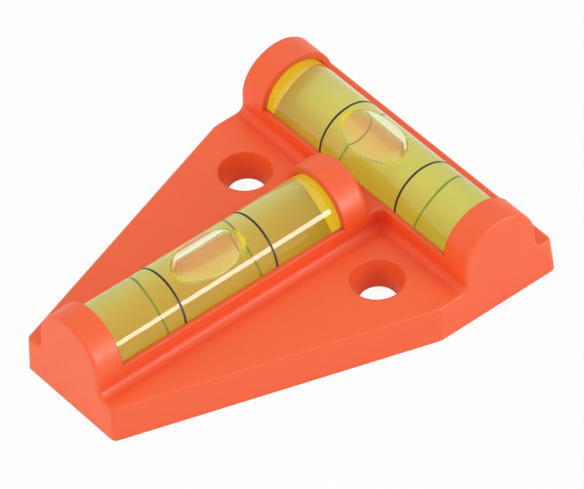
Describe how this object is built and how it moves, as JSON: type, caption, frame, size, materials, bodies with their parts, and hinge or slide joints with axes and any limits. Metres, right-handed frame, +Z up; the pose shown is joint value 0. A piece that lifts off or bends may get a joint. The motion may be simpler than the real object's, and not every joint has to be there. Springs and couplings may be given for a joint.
{
  "type": "t level",
  "caption": "Moulded two-way bubble level with a wedge-shaped screw-on plate and two clear vials set at right angles in a T.",
  "frame": {"origin": "middle of the outline on the underside, on the surface that the level is screwed to", "axes": "+Z up out of the plate; +Y along the long vial towards the wide back edge; +X along the cross vial to the right as seen from the narrow end"},
  "size_m": [0.0516, 0.07, 0.0159],
  "materials": {
    "orange_plastic": "smooth moulded orange-red plastic with a soft gloss",
    "clear_acrylic": "clear polished acrylic",
    "vial_plug": "smooth pale plastic, cemented in",
    "green_liquid": "clear yellow-green dyed liquid",
    "air_bubble": "air with a bright edge where it meets the liquid",
    "black_ink": "thin printed black line"
  },
  "bodies": {
    "level": {"level_body": "orange_plastic", "long_vial_barrel": "clear_acrylic", "long_vial_plug": "vial_plug", "long_vial_liquid": "green_liquid", "long_ring_minus": "black_ink", "long_ring_plus": "black_ink", "cross_vial_barrel": "clear_acrylic", "cross_vial_plug": "vial_plug", "cross_vial_liquid": "green_liquid", "cross_ring_minus": "black_ink", "cross_ring_plus": "black_ink"},
    "long_bubble_body": {"long_bubble": "air_bubble"},
    "cross_bubble_body": {"cross_bubble": "air_bubble"}
  },
  "joints": [
    {"name": "long_bubble_slide", "type": "slide", "parent": "level", "child": "long_bubble_body", "axis": [0, 1, 0], "range_m": [-0.0146, 0.014], "stiffness_N_per_m": 0.02, "deforming": ["long_vial_liquid"]},
    {"name": "cross_bubble_slide", "type": "slide", "parent": "level", "child": "cross_bubble_body", "axis": [1, 0, 0], "range_m": [-0.0116, 0.017], "stiffness_N_per_m": 0.02, "deforming": ["cross_vial_liquid"]}
  ]
}
